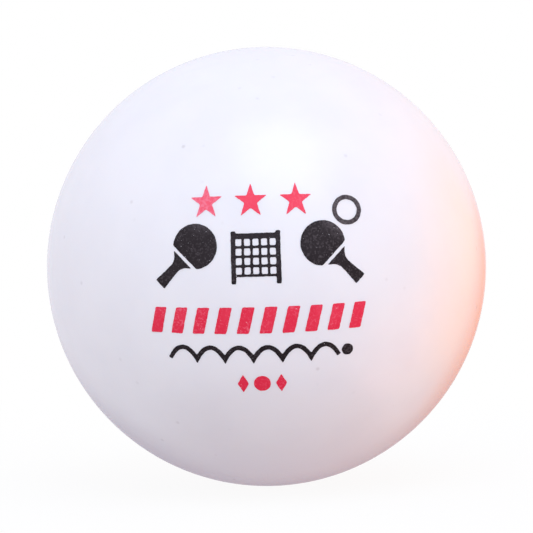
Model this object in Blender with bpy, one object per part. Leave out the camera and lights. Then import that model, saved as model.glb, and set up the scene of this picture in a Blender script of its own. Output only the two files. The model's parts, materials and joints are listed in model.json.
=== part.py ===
"""Table tennis ball of 40.2 mm: two moulded half shells bonded at a stepped seam, with a printed stamp.

Frame: the origin is the ball's centre and +Z is up. The stamp is centred on -Y and stands upright.
The seam is the circle in the plane Y = 0, so each half shell's pole lies on the Y axis.
"""

import math
from itertools import accumulate

import bmesh
import bpy
from mathutils import Vector

MM = 0.001

# Driving dimensions of the ball
BALL_RADIUS = 20.1 * MM
WALL = 0.48 * MM
RIM_WALL = 0.82 * MM
TONGUE_LENGTH = 1.0 * MM
BOND_THICKNESS = 0.06 * MM
FACE_GAP = 0.01 * MM
ADHESIVE_RECESS = 0.02 * MM
ADHESIVE_BEAD = 0.08 * MM

# Worked out from them
JOINT_GAP = BOND_THICKNESS + 2 * FACE_GAP
TONGUE_WALL = (RIM_WALL - JOINT_GAP) / 2
INNER_RADIUS = BALL_RADIUS - WALL
RIM_RADIUS = BALL_RADIUS - RIM_WALL
TONGUE_RADIUS = RIM_RADIUS + TONGUE_WALL
REBATE_RADIUS = TONGUE_RADIUS + JOINT_GAP

# Facets
TURN_STEPS = 64
OUTER_ARC_STEPS = 16
INNER_ARC_STEPS = 12
MERGE = 0.001 * MM

# Ink film on the front half
INK_GAP = 0.01 * MM
INK_FILM = 0.03 * MM
INK_CELL = 0.95 * MM

# Stamp layout, measured along the surface from the stamp's centre: across, then up
STAR_RADIUS = 1.55 * MM
STAR_ROW = (-0.76 * MM, 7.73 * MM)
STAR_PITCH = 4.08 * MM
STAR_WAIST = 0.382
STAR_STRETCH = 1.08

BATS = {
    "left": ((-5.9 * MM, 3.75 * MM), 225),
    "right": ((5.65 * MM, 3.75 * MM), 315),
}
BLADE_RADIUS = 2.05 * MM
RUBBER_EDGE = 1.35 * MM
BLADE_STEPS = 24
HANDLE_SIDE = [
    (1.65 * MM, 1.15 * MM),
    (1.95 * MM, 0.8 * MM),
    (2.3 * MM, 0.55 * MM),
    (2.7 * MM, 0.43 * MM),
    (4.8 * MM, 0.58 * MM),
]

NET_CORNER = (-2.6 * MM, 0.3 * MM)
NET_POST = 0.42 * MM
NET_POST_FOOT = 0.65 * MM
NET_POST_HEAD = 0.2 * MM
NET_CORD = 0.22 * MM
NET_TAPE = 0.5 * MM
NET_CELLS = (5, 4)
NET_CELL = (0.54 * MM, 0.62 * MM)

BALL_RING_CENTRE = (8.05 * MM, 6.73 * MM)
BALL_RING_RADIUS = 1.4 * MM
BALL_RING_WIDTH = 0.42 * MM

BAND_BARS = 10
BAND_LEFT = -10.15 * MM
BAND_FOOT = -4.15 * MM
BAND_HEIGHT = 2.4 * MM
BAND_PITCH = 2.03 * MM
BAR_WIDTH = 1.1 * MM
BAR_SLANT = 0.6 * MM

BOUNCE_START = (-8.7 * MM, -6.6 * MM)
BOUNCE_COUNT = 6
BOUNCE_PITCH = 2.6 * MM
BOUNCE_HEIGHT = 1.15 * MM
BOUNCE_LINE = 0.42 * MM
BOUNCE_STEPS = 8
BOUNCE_BALL = (7.7 * MM, -6.15 * MM)
BOUNCE_BALL_RADIUS = 0.55 * MM

LOWER_ROW = (-0.22 * MM, -9.02 * MM)
LOWER_PITCH = 1.75 * MM
DOT_RADIUS = 0.78 * MM
DIAMOND_HALF = (0.52 * MM, 0.92 * MM)

CIRCLE_STEPS = 28


def clear_scene():
    for obj in list(bpy.data.objects):
        bpy.data.objects.remove(obj)


def material(name, colour, roughness):
    made = bpy.data.materials.new(name)
    made.use_nodes = True
    shader = made.node_tree.nodes["Principled BSDF"]
    shader.inputs["Base Color"].default_value = (*colour, 1.0)
    shader.inputs["Roughness"].default_value = roughness
    shader.inputs["Metallic"].default_value = 0.0
    return made


def add_object(name, bm, surface):
    """Turns a closed bmesh into a named object, shaded smooth with its corners kept sharp."""
    bmesh.ops.recalc_face_normals(bm, faces=bm.faces)
    mesh = bpy.data.meshes.new(name)
    bm.to_mesh(mesh)
    bm.free()
    mesh.shade_smooth()
    mesh.set_sharp_from_angle(angle=math.radians(35))
    mesh.materials.append(surface)
    obj = bpy.data.objects.new(name, mesh)
    bpy.context.scene.collection.objects.link(obj)
    return obj


# ---- Half shells and bond line, all turned about the Y axis ----


def arc(radius, first_y, last_y, steps):
    """Points (distance from the Y axis, y) on a circle about the origin, spaced evenly by angle."""
    first, last = (math.acos(max(-1.0, min(1.0, y / radius))) for y in (first_y, last_y))
    angles = (first + (last - first) * i / steps for i in range(steps + 1))
    return [(radius * math.sin(a), radius * math.cos(a)) for a in angles]


def turned(name, profile, surface, closed=False):
    """Spins a profile of (distance from the Y axis, y) points a full turn about the Y axis."""
    bm = bmesh.new()
    verts = [bm.verts.new((abs(r), y, 0)) for r, y in profile]
    pairs = list(zip(verts, verts[1:]))
    if closed:
        pairs.append((verts[-1], verts[0]))
    edges = [bm.edges.new(pair) for pair in pairs]
    bmesh.ops.spin(
        bm,
        geom=verts + edges,
        cent=(0, 0, 0),
        axis=(0, 1, 0),
        angle=math.tau,
        steps=TURN_STEPS,
    )
    bmesh.ops.remove_doubles(bm, verts=bm.verts, dist=MERGE)
    return add_object(name, bm, surface)


def front_half_shell(surface):
    """Printed half, on the -Y side. Its rim has an outer land and a rebate that takes the tongue."""
    rim = -JOINT_GAP / 2
    rebate_floor = rim - TONGUE_LENGTH
    band_end = -math.sqrt(INNER_RADIUS**2 - RIM_RADIUS**2)
    profile = arc(BALL_RADIUS, -BALL_RADIUS, rim, OUTER_ARC_STEPS)
    profile += [(REBATE_RADIUS, rim), (REBATE_RADIUS, rebate_floor), (RIM_RADIUS, rebate_floor)]
    profile += arc(INNER_RADIUS, band_end, -INNER_RADIUS, INNER_ARC_STEPS)
    return turned("front_half_shell", profile, surface)


def back_half_shell(surface):
    """Plain half, on the +Y side. Its tongue reaches past the seam into the front half's rebate."""
    rim = JOINT_GAP / 2
    tongue_tip = rim - TONGUE_LENGTH
    band_end = math.sqrt(INNER_RADIUS**2 - RIM_RADIUS**2)
    profile = arc(BALL_RADIUS, BALL_RADIUS, rim, OUTER_ARC_STEPS)
    profile += [(TONGUE_RADIUS, rim), (TONGUE_RADIUS, tongue_tip), (RIM_RADIUS, tongue_tip)]
    profile += arc(INNER_RADIUS, band_end, INNER_RADIUS, INNER_ARC_STEPS)
    return turned("back_half_shell", profile, surface)


def seam_adhesive(surface):
    """Bond line: it fills the stepped gap, stops just under the ball's surface and beads inside."""
    half = BOND_THICKNESS / 2
    outside = BALL_RADIUS - ADHESIVE_RECESS
    inside = RIM_RADIUS - ADHESIVE_BEAD
    inner_wall = TONGUE_RADIUS + FACE_GAP
    outer_wall = REBATE_RADIUS - FACE_GAP
    profile = [
        (outside, half),
        (inner_wall, half),
        (inner_wall, half - TONGUE_LENGTH),
        (inside, half - TONGUE_LENGTH),
        (inside, -half - TONGUE_LENGTH),
        (outer_wall, -half - TONGUE_LENGTH),
        (outer_wall, -half),
        (outside, -half),
    ]
    return turned("seam_adhesive", profile, surface, closed=True)


# ---- Printed marks: drawn flat as (across, up), then wrapped onto the ball and thickened ----


def on_ball(across, up, radius):
    """The point that lies this far from the stamp's centre, measured along the ball's surface."""
    reach = math.hypot(across, up)
    if reach == 0:
        return Vector((0, -radius, 0))
    angle = reach / BALL_RADIUS
    side = radius * math.sin(angle) / reach
    return Vector((side * across, -radius * math.cos(angle), side * up))


def cut_into_cells(bm):
    """Cuts a flat mesh on a square grid, so that its facets are small enough to follow the ball."""
    bmesh.ops.triangulate(bm, faces=bm.faces)
    for axis in (0, 1):
        low = min(v.co[axis] for v in bm.verts)
        high = max(v.co[axis] for v in bm.verts)
        cells = max(1, round((high - low) / INK_CELL))
        normal = Vector((0, 0, 0))
        normal[axis] = 1
        for i in range(1, cells):
            point = normal * (low + (high - low) * i / cells)
            bmesh.ops.bisect_plane(
                bm,
                geom=bm.verts[:] + bm.edges[:] + bm.faces[:],
                dist=MERGE,
                plane_co=point,
                plane_no=normal,
            )
    bmesh.ops.triangulate(bm, faces=bm.faces)


def printed(name, bm, surface):
    """Wraps a flat mark onto the ball and gives it the ink film's thickness."""
    cut_into_cells(bm)
    inner = BALL_RADIUS + INK_GAP
    for vert in bm.verts:
        vert.co = on_ball(vert.co.x, vert.co.y, inner)
    made = bmesh.ops.extrude_face_region(bm, geom=bm.faces[:])
    for item in made["geom"]:
        if isinstance(item, bmesh.types.BMVert):
            item.co *= (inner + INK_FILM) / inner
    return add_object(name, bm, surface)


def flat(outline):
    bm = bmesh.new()
    bm.faces.new([bm.verts.new((across, up, 0)) for across, up in outline])
    return bm


def flat_strip(first, second, closed=False):
    """The flat mesh between two rows of points that run side by side."""
    bm = bmesh.new()
    rows = [[bm.verts.new((across, up, 0)) for across, up in row] for row in (first, second)]
    count = len(first)
    for i in range(count if closed else count - 1):
        j = (i + 1) % count
        bm.faces.new((rows[0][i], rows[0][j], rows[1][j], rows[1][i]))
    return bm


def polar(centre, radius, degrees):
    angle = math.radians(degrees)
    return (centre[0] + radius * math.cos(angle), centre[1] + radius * math.sin(angle))


def circle(centre, radius, steps=CIRCLE_STEPS):
    return [polar(centre, radius, 360 * i / steps) for i in range(steps)]


def star_marks(surface):
    """Three five-pointed stars, a little taller than regular ones: the grade of the ball."""
    for i, place in enumerate(("left", "centre", "right")):
        centre = (STAR_ROW[0] + (i - 1) * STAR_PITCH, STAR_ROW[1])
        radii = (STAR_RADIUS, STAR_WAIST * STAR_RADIUS)
        regular = [polar((0, 0), radii[k % 2], 90 + 36 * k) for k in range(10)]
        outline = [(centre[0] + across, centre[1] + STAR_STRETCH * up) for across, up in regular]
        printed(f"star_mark_{place}", flat(outline), surface)


def bat_marks(surface):
    """Two bats. Each has a round rubber cut straight at its foot, and a handle that widens to meet it."""
    for place, (centre, heading) in BATS.items():
        half_angle = math.degrees(math.acos(RUBBER_EDGE / BLADE_RADIUS))
        step = (360 - 2 * half_angle) / BLADE_STEPS
        angles = [heading + half_angle + step * i for i in range(BLADE_STEPS + 1)]
        rubber = [polar(centre, BLADE_RADIUS, angle) for angle in angles]
        printed(f"bat_mark_{place}_rubber", flat(rubber), surface)
        left, right = ([], [])
        for along, half_width in HANDLE_SIDE:
            middle = polar(centre, along, heading)
            left.append(polar(middle, half_width, heading + 90))
            right.append(polar(middle, half_width, heading - 90))
        printed(f"bat_mark_{place}_handle", flat_strip(left, right), surface)


def net_mark(surface):
    """A net between the bats: two posts, a tape along the top and crossed cords, in one piece."""
    post = (NET_POST, True)
    cord = (NET_CORD, True)
    columns = [post] + [(NET_CELL[0], False), cord] * NET_CELLS[0]
    columns[-1] = post
    rows = [(NET_POST_FOOT, False)] + [cord, (NET_CELL[1], False)] * NET_CELLS[1]
    rows += [(NET_TAPE, True), (NET_POST_HEAD, False)]
    across = list(accumulate((width for width, _ in columns), initial=NET_CORNER[0]))
    up = list(accumulate((height for height, _ in rows), initial=NET_CORNER[1]))
    bm = bmesh.new()
    grid = [[bm.verts.new((x, y, 0)) for y in up] for x in across]
    for i, (_, solid_column) in enumerate(columns):
        is_post = i in (0, len(columns) - 1)
        for j, (_, solid_row) in enumerate(rows):
            is_netting = 0 < j < len(rows) - 1 and (solid_column or solid_row)
            if is_post or is_netting:
                bm.faces.new((grid[i][j], grid[i + 1][j], grid[i + 1][j + 1], grid[i][j + 1]))
    loose = [vert for vert in bm.verts if not vert.link_faces]
    bmesh.ops.delete(bm, geom=loose, context="VERTS")
    printed("net_mark", bm, surface)


def ball_ring_mark(surface):
    """A ring above the right bat, for a ball in flight."""
    inside = circle(BALL_RING_CENTRE, BALL_RING_RADIUS - BALL_RING_WIDTH)
    outside = circle(BALL_RING_CENTRE, BALL_RING_RADIUS)
    printed("ball_ring_mark", flat_strip(inside, outside, closed=True), surface)


def band_marks(surface):
    """A band of slanted bars."""
    for i in range(BAND_BARS):
        left = BAND_LEFT + i * BAND_PITCH
        head = BAND_FOOT + BAND_HEIGHT
        outline = [
            (left - BAR_SLANT / 2, BAND_FOOT),
            (left - BAR_SLANT / 2 + BAR_WIDTH, BAND_FOOT),
            (left + BAR_SLANT / 2 + BAR_WIDTH, head),
            (left + BAR_SLANT / 2, head),
        ]
        printed(f"band_mark_{i + 1:02d}", flat(outline), surface)


def bounce_marks(surface):
    """The path of a bouncing ball, drawn as one line of parabolas, and the ball at its end."""
    half = BOUNCE_PITCH / 2
    left, ground = BOUNCE_START
    lower, upper = [], []
    for step in range(BOUNCE_COUNT * BOUNCE_STEPS + 1):
        bounce = min(step // BOUNCE_STEPS, BOUNCE_COUNT - 1)
        phase = 2 * (step - bounce * BOUNCE_STEPS) / BOUNCE_STEPS - 1
        across = left + BOUNCE_PITCH * bounce + half * (1 + phase)
        height = ground + BOUNCE_HEIGHT * (1 - phase**2)
        slope = 2 * BOUNCE_HEIGHT * phase / half
        stretch = math.hypot(1, slope)
        lean, thick = 0, BOUNCE_LINE / 2 * stretch
        if step in (0, BOUNCE_COUNT * BOUNCE_STEPS):
            # the line's two ends are cut square
            lean, thick = BOUNCE_LINE / 2 * slope / stretch, BOUNCE_LINE / 2 / stretch
        lower.append((across - lean, height - thick))
        upper.append((across + lean, height + thick))
    printed("bounce_mark_path", flat_strip(lower, upper), surface)
    printed("bounce_mark_ball", flat(circle(BOUNCE_BALL, BOUNCE_BALL_RADIUS, steps=16)), surface)


def lower_marks(surface):
    """A dot between two diamonds, under the line."""
    printed("lower_mark_dot", flat(circle(LOWER_ROW, DOT_RADIUS, steps=20)), surface)
    for place, side in (("left", -1), ("right", 1)):
        across = LOWER_ROW[0] + side * LOWER_PITCH
        wide, tall = DIAMOND_HALF
        outline = [
            (across - wide, LOWER_ROW[1]),
            (across, LOWER_ROW[1] - tall),
            (across + wide, LOWER_ROW[1]),
            (across, LOWER_ROW[1] + tall),
        ]
        printed(f"lower_mark_{place}", flat(outline), surface)


def build():
    clear_scene()
    shell = material("white_shell_plastic", (0.86, 0.85, 0.87), 0.45)
    adhesive = material("seam_adhesive", (0.74, 0.73, 0.72), 0.35)
    red = material("red_ink", (0.83, 0.05, 0.10), 0.5)
    black = material("black_ink", (0.03, 0.025, 0.028), 0.5)
    front_half_shell(shell)
    back_half_shell(shell)
    seam_adhesive(adhesive)
    star_marks(red)
    bat_marks(black)
    net_mark(black)
    ball_ring_mark(black)
    band_marks(red)
    bounce_marks(black)
    lower_marks(red)


build()
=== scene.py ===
"""Looks of a table tennis ball: fine shells, seam and printed stamp, materials, and a soft studio."""

import json
import math

import bmesh
import bpy
import numpy as np
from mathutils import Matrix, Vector, geometry, noise

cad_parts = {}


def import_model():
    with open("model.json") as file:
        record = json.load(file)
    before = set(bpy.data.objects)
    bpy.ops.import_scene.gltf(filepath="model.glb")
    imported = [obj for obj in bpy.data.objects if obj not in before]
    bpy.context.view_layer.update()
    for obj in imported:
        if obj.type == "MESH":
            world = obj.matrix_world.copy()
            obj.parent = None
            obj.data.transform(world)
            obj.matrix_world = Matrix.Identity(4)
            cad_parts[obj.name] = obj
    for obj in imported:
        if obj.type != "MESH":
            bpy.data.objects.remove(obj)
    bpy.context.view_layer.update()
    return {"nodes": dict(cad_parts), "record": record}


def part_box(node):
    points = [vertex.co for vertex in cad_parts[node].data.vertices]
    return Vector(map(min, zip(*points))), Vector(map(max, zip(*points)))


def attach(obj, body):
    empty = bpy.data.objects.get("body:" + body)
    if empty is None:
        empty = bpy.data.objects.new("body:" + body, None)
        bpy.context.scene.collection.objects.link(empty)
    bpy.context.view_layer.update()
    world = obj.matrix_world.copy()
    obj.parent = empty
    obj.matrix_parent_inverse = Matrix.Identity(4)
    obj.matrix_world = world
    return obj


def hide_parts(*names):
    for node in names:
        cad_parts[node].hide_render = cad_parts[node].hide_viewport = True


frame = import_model()

MM = 0.001
BODY = "root"

# The ball, from the frame where a box shows it, and otherwise as the CAD has it
BALL_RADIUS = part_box("back_half_shell")[1].y
FRONT_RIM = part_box("front_half_shell")[1].y
TONGUE_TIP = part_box("back_half_shell")[0].y
WALL = 0.48 * MM
RIM_WALL = 0.82 * MM
JOINT_GAP = -2 * FRONT_RIM
TONGUE_WALL = (RIM_WALL - JOINT_GAP) / 2
INNER_RADIUS = BALL_RADIUS - WALL
RIM_RADIUS = BALL_RADIUS - RIM_WALL
TONGUE_RADIUS = RIM_RADIUS + TONGUE_WALL
REBATE_RADIUS = TONGUE_RADIUS + JOINT_GAP

# Finish of the seam
EDGE_ROUND = 0.01 * MM
FACE_GAP = 0.01 * MM
ADHESIVE_RECESS = 0.004 * MM
ADHESIVE_BEAD = 0.08 * MM

# Fine facets
SHARP_EDGE = math.radians(40)
TURN_STEPS = 192
OUTER_ARC_STEPS = 64
INNER_ARC_STEPS = 24
ROUND_STEPS = 3
WELD = 0.001 * MM

# Ink film as it is printed: closer to the shell and thinner than the CAD's. The middle height of a CAD film
# tells its underside from its top.
INK_LIFT = 0.004 * MM
INK_FILM = 0.016 * MM
CAD_FILM_MIDDLE = 0.025 * MM

# A mark's outline: the turns that count as none and as a corner, how often corners are softened, and the
# sizes and reaches of its wobbles. Without a seed their noise would differ in each run.
OUTLINE_STEP = 0.07 * MM
STRAIGHT = math.radians(1.5)
CORNER = math.radians(32)
CORNER_PASSES = 3
EDGE_WOBBLES = [(0.3 * MM, 0.026 * MM), (0.12 * MM, 0.011 * MM)]
WOBBLE_SEED = 1
noise.seed_set(WOBBLE_SEED)

# The grid of points inside a mark
INK_CELL = 0.32 * MM
INK_STAGGER = 0.25
INK_MARGIN = 0.45 * INK_CELL


# ---- Meshes ----


def mesh_object(name, bm, material):
    """A smooth object made from a bmesh, which this frees."""
    mesh = bpy.data.meshes.new(name)
    bm.to_mesh(mesh)
    bm.free()
    mesh.shade_smooth()
    mesh.set_sharp_from_angle(angle=SHARP_EDGE)
    mesh.materials.append(material)
    made = bpy.data.objects.new(name, mesh)
    bpy.context.scene.collection.objects.link(made)
    return made


def arc(radius, first_y, last_y, steps):
    """Points (distance from the Y axis, y) on a circle about the origin, spaced evenly by angle."""
    first, last = (math.acos(max(-1.0, min(1.0, y / radius))) for y in (first_y, last_y))
    angles = (first + (last - first) * i / steps for i in range(steps + 1))
    return [(radius * math.sin(a), radius * math.cos(a)) for a in angles]


def rounded_corner(before, corner, after, radius):
    """Points that round a profile's corner, on a curve from a radius before it to a radius after it."""
    before, corner, after = Vector(before), Vector(corner), Vector(after)
    start = corner + (before - corner).normalized() * radius
    end = corner + (after - corner).normalized() * radius
    fractions = (i / ROUND_STEPS for i in range(ROUND_STEPS + 1))
    return [tuple(start * (1 - t) ** 2 + corner * 2 * t * (1 - t) + end * t**2) for t in fractions]


def turned(name, profile, material, closed=False):
    """Spins a profile of (distance from the Y axis, y) points a full turn about the Y axis."""
    bm = bmesh.new()
    verts = [bm.verts.new((abs(r), y, 0)) for r, y in profile]
    pairs = list(zip(verts, verts[1:]))
    if closed:
        pairs.append((verts[-1], verts[0]))
    edges = [bm.edges.new(pair) for pair in pairs]
    bmesh.ops.spin(
        bm,
        geom=verts + edges,
        cent=(0, 0, 0),
        axis=(0, 1, 0),
        angle=math.tau,
        steps=TURN_STEPS,
    )
    bmesh.ops.remove_doubles(bm, verts=bm.verts, dist=WELD)
    bmesh.ops.recalc_face_normals(bm, faces=bm.faces)
    return mesh_object(name, bm, material)


def half_shell(name, node, side, rim, step, step_radius, material):
    """One half: side is -1 for the front and 1 for the back, and step is the Y of its inner rim."""
    band_end = side * math.sqrt(INNER_RADIUS**2 - RIM_RADIUS**2)
    outside = arc(BALL_RADIUS, side * BALL_RADIUS, rim, OUTER_ARC_STEPS)
    seam_edge = rounded_corner(outside[-2], outside[-1], (step_radius, rim), EDGE_ROUND)
    profile = outside[:-1] + seam_edge + [(step_radius, rim), (step_radius, step), (RIM_RADIUS, step)]
    profile += arc(INNER_RADIUS, band_end, side * INNER_RADIUS, INNER_ARC_STEPS)
    shell = turned(name, profile, material)
    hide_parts(node)
    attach(shell, BODY)


def seam_adhesive(material):
    """The bond line: it fills the stepped joint, a hair clear of both shells, and ends inside in a bead."""
    half = JOINT_GAP / 2 - FACE_GAP
    outside = BALL_RADIUS - ADHESIVE_RECESS
    inside = RIM_RADIUS - ADHESIVE_BEAD
    inner_wall = TONGUE_RADIUS + FACE_GAP
    outer_wall = REBATE_RADIUS - FACE_GAP
    step = TONGUE_TIP + FRONT_RIM
    profile = [
        (outside, half),
        (inner_wall, half),
        (inner_wall, step + half),
        (inside, step + half),
        (inside - half, step),
        (inside, step - half),
        (outer_wall, step - half),
        (outer_wall, -half),
        (outside, -half),
    ]
    seam = turned("seam_bond_line", profile, material, closed=True)
    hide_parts("seam_adhesive")
    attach(seam, BODY)


# ---- Stamp: each CAD mark's outline is read, unwrapped, drawn finely and wrapped back ----


def on_ball(point, radius):
    """The point that lies this far from the stamp's centre, measured along the ball's surface."""
    reach = math.hypot(point[0], point[1])
    if reach == 0:
        return Vector((0, -radius, 0))
    angle = reach / BALL_RADIUS
    side = radius * math.sin(angle) / reach
    return Vector((side * point[0], -radius * math.cos(angle), side * point[1]))


def unwrapped(point):
    """The reverse of on_ball: (across, up) from the stamp's centre, measured along the surface."""
    side = math.hypot(point.x, point.z)
    if side == 0:
        return Vector((0, 0))
    return Vector((point.x, point.z)) * (BALL_RADIUS * math.atan2(side, -point.y) / side)


def cad_outlines(node):
    """The closed outlines of a CAD mark's underside, unwrapped."""
    bm = bmesh.new()
    bm.from_mesh(frame["nodes"][node].data)
    bmesh.ops.remove_doubles(bm, verts=bm.verts, dist=WELD)
    top = [vert for vert in bm.verts if vert.co.length > BALL_RADIUS + CAD_FILM_MIDDLE]
    bmesh.ops.delete(bm, geom=top, context="VERTS")
    left = [edge for edge in bm.edges if edge.is_boundary]
    loops = []
    while left:
        first, here = left.pop().verts
        loop = [unwrapped(first.co)]
        while here is not first:
            loop.append(unwrapped(here.co))
            edge = next(e for e in here.link_edges if e in left)
            left.remove(edge)
            here = edge.other_vert(here)
        loops.append(loop)
    bm.free()
    return loops


def turn_at(before, here, after):
    """How sharply an outline turns at a point, in radians."""
    return (here - before).angle(after - here)


def neighbours(loop):
    """Each point of a loop, with the one before it and the one after it."""
    return zip(loop[-1:] + loop[:-1], loop, loop[1:] + loop[:1])


def fine_outline(loop):
    """Draws an outline finely: gentle turns become curves, and corners keep a small radius, as ink does."""
    loop = [three[1] for three in neighbours(loop) if turn_at(*three) > STRAIGHT]
    soft = [turn_at(*three) < CORNER for three in neighbours(loop)]
    points = []
    for i, (before, here, after) in enumerate(neighbours(loop)):
        beyond = loop[(i + 2) % len(loop)]
        run = after - here
        leave = (after - before) / 2 if soft[i] else run
        arrive = (beyond - here) / 2 if soft[(i + 1) % len(loop)] else run
        steps = max(1, round(run.length / OUTLINE_STEP))
        leave, arrive = (t.normalized() * run.length for t in (leave, arrive))
        for k in range(steps):
            t = k / steps
            weight = t * t * (3 - 2 * t)
            curve = here.lerp(after, weight) + leave * t * (1 - t) ** 2 - arrive * t * t * (1 - t)
            points.append(curve)
    for _ in range(CORNER_PASSES):
        points = [(before + 2 * here + after) / 4 for before, here, after in neighbours(points)]
    return points


def wobbled(point):
    """Moves a point a little, the way a silicone pad leaves an edge that isn't quite straight."""
    moved = point.to_3d()
    for size, reach in EDGE_WOBBLES:
        moved += noise.noise_vector(point.to_3d() / size) * reach
    return moved.to_2d()


def inside(points, loops):
    """Which points lie in an outline and not in its holes: a ray from each crosses the loops oddly."""
    across, up = np.array(points).T[:, :, None]
    starts = np.array([point for loop in loops for point in loop])
    ends = np.array([point for loop in loops for point in loop[1:] + loop[:1]])
    (x1, y1), (x2, y2) = starts.T, ends.T
    spans = (y1 > up) != (y2 > up)
    crossing = x1 + (x2 - x1) * (up - y1) / np.where(y1 == y2, 1.0, y2 - y1)
    return (spans & (across < crossing)).sum(axis=1) % 2 == 1


def inner_points(loops):
    """A staggered grid of points inside an outline, clear of the outline itself."""
    every = [point for loop in loops for point in loop]
    low = Vector((min(p.x for p in every), min(p.y for p in every)))
    high = Vector((max(p.x for p in every), max(p.y for p in every)))
    counts = [max(1, math.ceil((high[i] - low[i]) / INK_CELL)) for i in (0, 1)]
    grid = [
        low + Vector(((i + 0.5 + INK_STAGGER * (j % 2)) * INK_CELL, (j + 0.5) * INK_CELL))
        for i in range(counts[0])
        for j in range(counts[1])
    ]
    within = inside(grid, loops)
    return [p for p, ok in zip(grid, within) if ok and min((p - q).length for q in every) > INK_MARGIN]


def printed(node, material):
    """The fine film of one mark."""
    loops = [[wobbled(point) for point in fine_outline(loop)] for loop in cad_outlines(node)]
    points, edges = [], []
    for loop in loops:
        first = len(points)
        points += loop
        edges += [(first + i, first + (i + 1) % len(loop)) for i in range(len(loop))]
    points += inner_points(loops)
    flat, _, faces, *_ = geometry.delaunay_2d_cdt(points, edges, [], 1, WELD)
    centres = [sum((flat[i] for i in face), Vector((0, 0))) / len(face) for face in faces]
    faces = [face for face, ok in zip(faces, inside(centres, loops)) if ok]
    bm = bmesh.new()
    lower = [bm.verts.new(on_ball(point, BALL_RADIUS + INK_LIFT)) for point in flat]
    for face in faces:
        bm.faces.new([lower[i] for i in face])
    loose = [vert for vert in bm.verts if not vert.link_faces]
    bmesh.ops.delete(bm, geom=loose, context="VERTS")
    made = bmesh.ops.extrude_face_region(bm, geom=bm.faces[:])
    for item in made["geom"]:
        if isinstance(item, bmesh.types.BMVert):
            item.co *= 1 + INK_FILM / BALL_RADIUS
    bmesh.ops.recalc_face_normals(bm, faces=bm.faces)
    film = mesh_object(f"{node}_ink", bm, material)
    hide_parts(node)
    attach(film, BODY)


# ---- Materials ----

# Spots of noise: their size and detail, and the noise where they begin and where they are full. Where two
# more numbers follow, they are the least and the greatest strength.
CLOUDS = (7 * MM, 3, 0.35, 0.65)
SEAM_DUST = (1.2 * MM, 3, 0.4, 0.7)
WORN_AREAS = (3.5 * MM, 2, 0.4, 0.65, 0.3, 1.0)
WORN_SPECKLES = (0.2 * MM, 3, 0.48, 0.68)
FAINT_MOTTLE = (0.25 * MM, 3, 0.4, 0.58, 0.3, 1.0)
PINHOLES = (0.13 * MM, 1, 0.74, 0.78)

# Relief: the size, detail and height of a noise
PLASTIC_WAVES = (3 * MM, 1, 0.004 * MM)
PLASTIC_SKIN = (0.16 * MM, 2, 0.0018 * MM)
INK_SKIN = (0.14 * MM, 2, 0.0025 * MM)

# Roughness of the bond and the inks: the size of its noise, how much the noise adds, and the least
BOND_ROUGHNESS = (0.4 * MM, 0.2, 0.3)
INK_ROUGHNESS = (0.3 * MM, 0.18, 0.45)

# Plastic: the belt along the seam is smoothest up to the first distance, and over at the second
WHITES = [(0.875, 0.865, 0.885), (0.9, 0.89, 0.905)]
BELT = (2 * MM, 9 * MM)
BELT_ROUGHNESS = 0.19
ROUGHER_OFF_BELT = 0.05
ROUGHER_BY_GRAIN = 0.04
GRAIN = (0.35 * MM, 3)
PLASTIC_CONSTANTS = {
    "Subsurface Weight": 0.25,
    "Subsurface Radius": (1.0, 0.8, 0.7),
    "Subsurface Scale": 0.6 * MM,
    "IOR": 1.54,
}

# Specks in the plastic: cells at this spacing, the share of them with a speck, and the speck's colour, its
# greatest depth, and its core and edge as shares of the spacing
SPECK_SPACING = 1.6 * MM
SPECK_SHARE = 0.22
SPECK_COLOUR = (0.42, 0.38, 0.38)
SPECK_DEPTH = 0.32
SPECK_EDGE = (0.04, 0.17)

# Bond, clean and where dust has settled
BOND_GREYS = [(0.84, 0.83, 0.84), (0.7, 0.68, 0.68)]

# Inks: each at full strength, a lighter copy for the painted light from above, and thin
INKS = {
    "red_ink": [(0.82, 0.024, 0.066), (0.93, 0.07, 0.125), (0.94, 0.2, 0.28)],
    "black_ink": [(0.011, 0.006, 0.008), (0.024, 0.018, 0.021), (0.1, 0.085, 0.092)],
}
BARE_PLASTIC = (0.86, 0.85, 0.87)
WORN_DEPTH = 0.5
PINHOLE_DEPTH = 0.5
INK_CONSTANTS = {"IOR": 1.48, "Specular IOR Level": 0.2}

# The print is painted lighter between two heights, as if lit from above, unevenly; it is also faint round
# two places on the ball
PAINTED_LIGHT_HEIGHTS = (-6 * MM, 9 * MM)
UNEVEN_LIGHTENING = 1.2
UNEVEN_NOISE = (2.2 * MM, 2)
FAINT_PLACES = [(-4.8 * MM, 7.7 * MM), (8.0 * MM, 6.7 * MM)]
FAINT_EDGE = (1.4 * MM, 3.2 * MM)

# A Mix node's sockets for colours: its two inputs and its output
MIX_FIRST = 6
MIX_SECOND = 7
MIX_RESULT = 2


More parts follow.
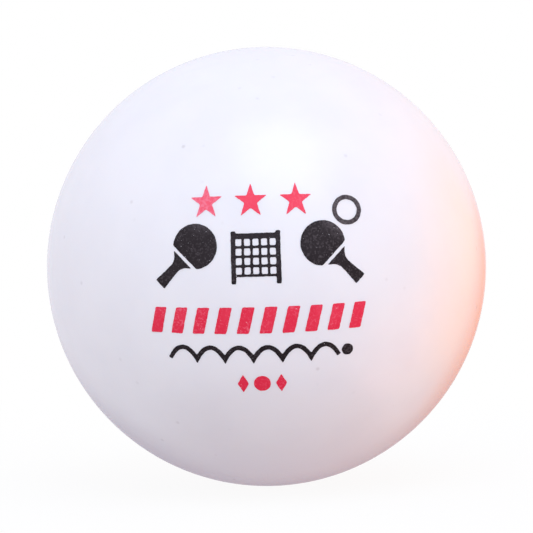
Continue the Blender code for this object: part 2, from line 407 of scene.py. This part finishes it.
class Graph:
    """A material's or world's node tree, with short ways to add nodes and links."""

    def __init__(self, owner, shader, coordinates):
        owner.use_nodes = True
        self.owner = owner
        self.tree = owner.node_tree
        self.shader = self.tree.nodes[shader]
        self.place = self.add("ShaderNodeTexCoord").outputs[coordinates]

    def add(self, kind, **settings):
        made = self.tree.nodes.new(kind)
        for key, value in settings.items():
            setattr(made, key, value)
        return made

    def put(self, value, socket):
        """Links an output to a socket, or sets the socket to a plain value."""
        if isinstance(value, bpy.types.NodeSocket):
            self.tree.links.new(value, socket)
        else:
            socket.default_value = value

    def constants(self, values):
        """Sets what is the same all over the surface, on the shader's own sockets."""
        for name, value in values.items():
            self.shader.inputs[name].default_value = value

    def noise(self, size, detail=2.0):
        made = self.add("ShaderNodeTexNoise")
        self.put(self.place, made.inputs["Vector"])
        made.inputs["Scale"].default_value = 1 / size
        made.inputs["Detail"].default_value = detail
        return made.outputs["Fac"]

    def math(self, operation, first, second=0.0, third=0.0):
        made = self.add("ShaderNodeMath", operation=operation)
        for value, socket in zip((first, second, third), made.inputs):
            self.put(value, socket)
        return made.outputs[0]

    def vector_math(self, operation, vector=None):
        """A length, distance or dot product of the place, with a constant vector where it takes one."""
        made = self.add("ShaderNodeVectorMath", operation=operation)
        self.put(self.place, made.inputs[0])
        if vector is not None:
            made.inputs[1].default_value = vector
        return made.outputs["Value"]

    def ranged(self, value, low, high, to_low=0.0, to_high=1.0):
        """Maps low..high smoothly to to_low..to_high, and clamps."""
        made = self.add("ShaderNodeMapRange", interpolation_type="SMOOTHSTEP")
        for key, item in (
            ("Value", value),
            ("From Min", low),
            ("From Max", high),
            ("To Min", to_low),
            ("To Max", to_high),
        ):
            self.put(item, made.inputs[key])
        return made.outputs["Result"]

    def mix(self, factor, first, second):
        """Mixes two colours, each an output or a plain value."""
        made = self.add("ShaderNodeMix", data_type="RGBA")
        self.put(factor, made.inputs["Factor"])
        for value, index in ((first, MIX_FIRST), (second, MIX_SECOND)):
            plain = not isinstance(value, bpy.types.NodeSocket)
            self.put((*value, 1.0) if plain else value, made.inputs[index])
        return made.outputs[MIX_RESULT]

    def channel(self, colour, index):
        made = self.add("ShaderNodeSeparateColor")
        self.put(colour, made.inputs[0])
        return made.outputs[index]

    def axis(self, name):
        made = self.add("ShaderNodeSeparateXYZ")
        self.put(self.place, made.inputs[0])
        return made.outputs[name]

    def spots(self, size, detail, begins, full, least=0.0, greatest=1.0):
        """Soft spots where the noise is high."""
        return self.ranged(self.noise(size, detail), begins, full, least, greatest)

    def near(self, point, full, none):
        """1 nearer to a point than one distance, and 0 farther than another."""
        return self.ranged(self.vector_math("DISTANCE", point), full, none, 1.0, 0.0)

    def relief(self, size, detail, height, under=None):
        """A bump from noise, over another one if it is given."""
        made = self.add("ShaderNodeBump")
        self.put(self.noise(size, detail), made.inputs["Height"])
        made.inputs["Distance"].default_value = height
        if under:
            self.put(under, made.inputs["Normal"])
        return made.outputs["Normal"]

    def shade(self, colour, roughness, normal=None):
        """Links what varies over the surface to the shader."""
        self.put(colour, self.shader.inputs["Base Color"])
        self.put(roughness, self.shader.inputs["Roughness"])
        if normal:
            self.put(normal, self.shader.inputs["Normal"])

    def end(self, factor, first, second, output):
        """Ends the tree with a mix of two shaders."""
        made = self.add("ShaderNodeMixShader")
        for value, socket in zip((factor, first, second), made.inputs):
            self.put(value, socket)
        self.put(made.outputs[0], self.tree.nodes[output].inputs[0])


def surface(name):
    """The graph of a new material."""
    return Graph(bpy.data.materials.new(name), "Principled BSDF", "Object")


def shell_plastic():
    """White ABS with a satin skin, smoother along the buffed seam, with a few specks of dust in it."""
    g = surface("shell_plastic")
    white = g.mix(g.spots(*CLOUDS), *WHITES)
    cells = g.add("ShaderNodeTexVoronoi", feature="F1")
    g.put(g.place, cells.inputs["Vector"])
    cells.inputs["Scale"].default_value = 1 / SPECK_SPACING
    chosen = g.math("GREATER_THAN", g.channel(cells.outputs["Color"], 0), 1 - SPECK_SHARE)
    dot = g.ranged(cells.outputs["Distance"], *SPECK_EDGE, 1.0, 0.0)
    depth = g.math("MULTIPLY", g.channel(cells.outputs["Color"], 1), SPECK_DEPTH)
    speck = g.math("MULTIPLY", g.math("MULTIPLY", chosen, dot), depth)

    off_belt = g.math("MULTIPLY", g.ranged(g.math("ABSOLUTE", g.axis("Y")), *BELT), ROUGHER_OFF_BELT)
    grain = g.math("MULTIPLY", g.noise(*GRAIN), ROUGHER_BY_GRAIN)
    rough = g.math("ADD", g.math("ADD", off_belt, grain), BELT_ROUGHNESS)

    skin = g.relief(*PLASTIC_SKIN, g.relief(*PLASTIC_WAVES))
    g.shade(g.mix(speck, white, SPECK_COLOUR), rough, skin)
    g.constants(PLASTIC_CONSTANTS)
    return g.owner


def bond_plastic():
    """The cured bond: the same plastic, a little greyer where dust has settled in the hairline."""
    g = surface("seam_adhesive")
    size, added, least = BOND_ROUGHNESS
    g.shade(g.mix(g.spots(*SEAM_DUST), *BOND_GREYS), g.math("MULTIPLY_ADD", g.noise(size), added, least))
    return g.owner


def ink(name, full, light, thin):
    """Pad-printed ink: painted lighter towards the top as if lit from above, thin in patches and where the
    pad pressed lightly.
    """
    g = surface(name)
    # Painted light: the ink turns to its lighter copy towards the top, as if more light fell there, made
    # uneven by noise
    lit_from_above = g.ranged(g.axis("Z"), *PAINTED_LIGHT_HEIGHTS)
    uneven = g.math("MULTIPLY_ADD", g.noise(*UNEVEN_NOISE), UNEVEN_LIGHTENING, -UNEVEN_LIGHTENING / 2)
    body = g.mix(g.ranged(g.math("ADD", lit_from_above, uneven), 0.0, 1.0), full, light)

    worn = g.math("MULTIPLY", g.spots(*WORN_SPECKLES), g.spots(*WORN_AREAS))
    body = g.mix(g.math("MULTIPLY", worn, WORN_DEPTH), body, thin)
    faint = 0.0
    for place in FAINT_PLACES:
        faint = g.math("MAXIMUM", faint, g.near(on_ball(place, BALL_RADIUS), *FAINT_EDGE))
    body = g.mix(g.math("MULTIPLY", faint, g.spots(*FAINT_MOTTLE)), body, thin)
    body = g.mix(g.math("MULTIPLY", g.spots(*PINHOLES), PINHOLE_DEPTH), body, BARE_PLASTIC)

    size, added, least = INK_ROUGHNESS
    g.shade(body, g.math("MULTIPLY_ADD", g.noise(size), added, least), g.relief(*INK_SKIN))
    g.constants(INK_CONSTANTS)
    return g.owner


# ---- The ball ----


plastic = shell_plastic()
front_step = TONGUE_TIP + 2 * FRONT_RIM
half_shell("front_shell", "front_half_shell", -1, FRONT_RIM, front_step, REBATE_RADIUS, plastic)
half_shell("back_shell", "back_half_shell", 1, -FRONT_RIM, TONGUE_TIP, TONGUE_RADIUS, plastic)
seam_adhesive(bond_plastic())
inks = {name: ink(name, *colours) for name, colours in INKS.items()}
for part in frame["record"]["subparts"]:
    if part["material_slot"] in inks:
        printed(part["node"], inks[part["material_slot"]])


# ---- Studio ----

# Camera: its angles are in degrees
CAMERA_DISTANCE = 0.5
CAMERA_AZIMUTH = 1.5
CAMERA_ELEVATION = 5.2
CAMERA_ROLL = 1.8
CAMERA_LENS = 368.6
CAMERA_CLIP = 0.01

# Softboxes: name, azimuth, elevation, power in watts, colour
SOFTBOX_DISTANCE = 0.8
SOFTBOX_SIZE = 0.68
SOFTBOXES = [
    ("top_softbox", 20, 60, 2.05, (0.7, 0.81, 1.0)),
    ("right_softbox", 85, -31, 0.99, (1.0, 0.35, 0.19)),
]

# What the ball sees round it: an even sky, and patches laid over it. Each has its azimuth and elevation,
# the cosines from its axis where it begins and where it is full, and its colour.
SKY = (0.87, 0.86, 0.94)
PATCHES = [
    (0, -90, 0.67, 0.93, (0.175, 0.09, 0.09)),
    (120, -3, 0.81, 0.98, (1.87, 0.74, 0.09)),
    (155, -15, 0.933, 0.986, (1.05, 0.22, 0.0)),
    (-177, -40, 0.8, 0.96, (0.35, 0.29, 0.365)),
]

# Floor: it glows white, except for a share of shadow that fades over a distance
FLOOR_RADIUS = 6.0
FLOOR_SIDES = 96
FLOOR_CONSTANTS = {"Base Color": (0.9, 0.9, 0.9, 1.0), "Roughness": 0.9, "Specular IOR Level": 0.0}
SHADOW_WEIGHT = 0.1
SHADOW_REACH = 4 * BALL_RADIUS


def from_ball(azimuth, elevation, distance):
    """A place round the ball, from angles in degrees: azimuth 0 faces the stamp, and 90 is to its right."""
    azimuth, elevation = math.radians(azimuth), math.radians(elevation)
    flat = distance * math.cos(elevation)
    height = distance * math.sin(elevation)
    return Vector((flat * math.sin(azimuth), -flat * math.cos(azimuth), height))


def aimed(name, data, place):
    """An object for a camera or lamp, put at a place and pointed at the ball's centre."""
    made = bpy.data.objects.new(name, data)
    bpy.context.scene.collection.objects.link(made)
    made.location = place
    made.rotation_euler = (-place).to_track_quat("-Z", "Y").to_euler()
    return made


def camera():
    data = bpy.data.cameras.new("camera")
    data.lens = CAMERA_LENS
    data.clip_start = CAMERA_CLIP
    made = aimed("camera", data, from_ball(CAMERA_AZIMUTH, CAMERA_ELEVATION, CAMERA_DISTANCE))
    made.rotation_euler.rotate_axis("Z", -math.radians(CAMERA_ROLL))
    bpy.context.scene.camera = made


def softbox(name, azimuth, elevation, power, colour):
    data = bpy.data.lights.new(name, "AREA")
    data.shape = "DISK"
    data.size = SOFTBOX_SIZE
    data.energy = power
    data.color = colour
    made = aimed(name, data, from_ball(azimuth, elevation, SOFTBOX_DISTANCE))
    made.visible_camera = False


def floor():
    """A pale floor: white, with only a faint shadow where the ball touches it."""
    bm = bmesh.new()
    bmesh.ops.create_circle(bm, cap_ends=True, segments=FLOOR_SIDES, radius=FLOOR_RADIUS)
    for vert in bm.verts:
        vert.co.z = -BALL_RADIUS
    g = surface("floor")
    g.constants(FLOOR_CONSTANTS)
    white = g.add("ShaderNodeEmission")
    away = g.vector_math("LENGTH")
    glow = g.ranged(away, BALL_RADIUS, SHADOW_REACH, 1 - SHADOW_WEIGHT, 1.0)
    g.end(glow, g.shader.outputs[0], white.outputs[0], "Material Output")
    made = mesh_object("floor", bm, g.owner)
    made.visible_diffuse = False
    made.visible_glossy = False
    made.visible_shadow = False


def world():
    """White to the camera. To the ball: the sky, with the patches laid over it."""
    g = Graph(bpy.data.worlds.new("studio"), "Background", "Generated")
    seen = SKY
    for azimuth, elevation, begins, full, colour in PATCHES:
        near = g.vector_math("DOT_PRODUCT", from_ball(azimuth, elevation, 1.0))
        seen = g.mix(g.ranged(near, begins, full), seen, colour)
    g.put(seen, g.shader.inputs["Color"])
    white = g.add("ShaderNodeBackground")
    white.inputs["Color"].default_value = (1.0, 1.0, 1.0, 1.0)
    path = g.add("ShaderNodeLightPath")
    g.end(path.outputs["Is Camera Ray"], g.shader.outputs[0], white.outputs[0], "World Output")
    bpy.context.scene.world = g.owner


camera()
for light in SOFTBOXES:
    softbox(*light)
floor()
world()
bpy.context.scene.view_settings.view_transform = "Standard"
bpy.context.scene.view_settings.look = "None"
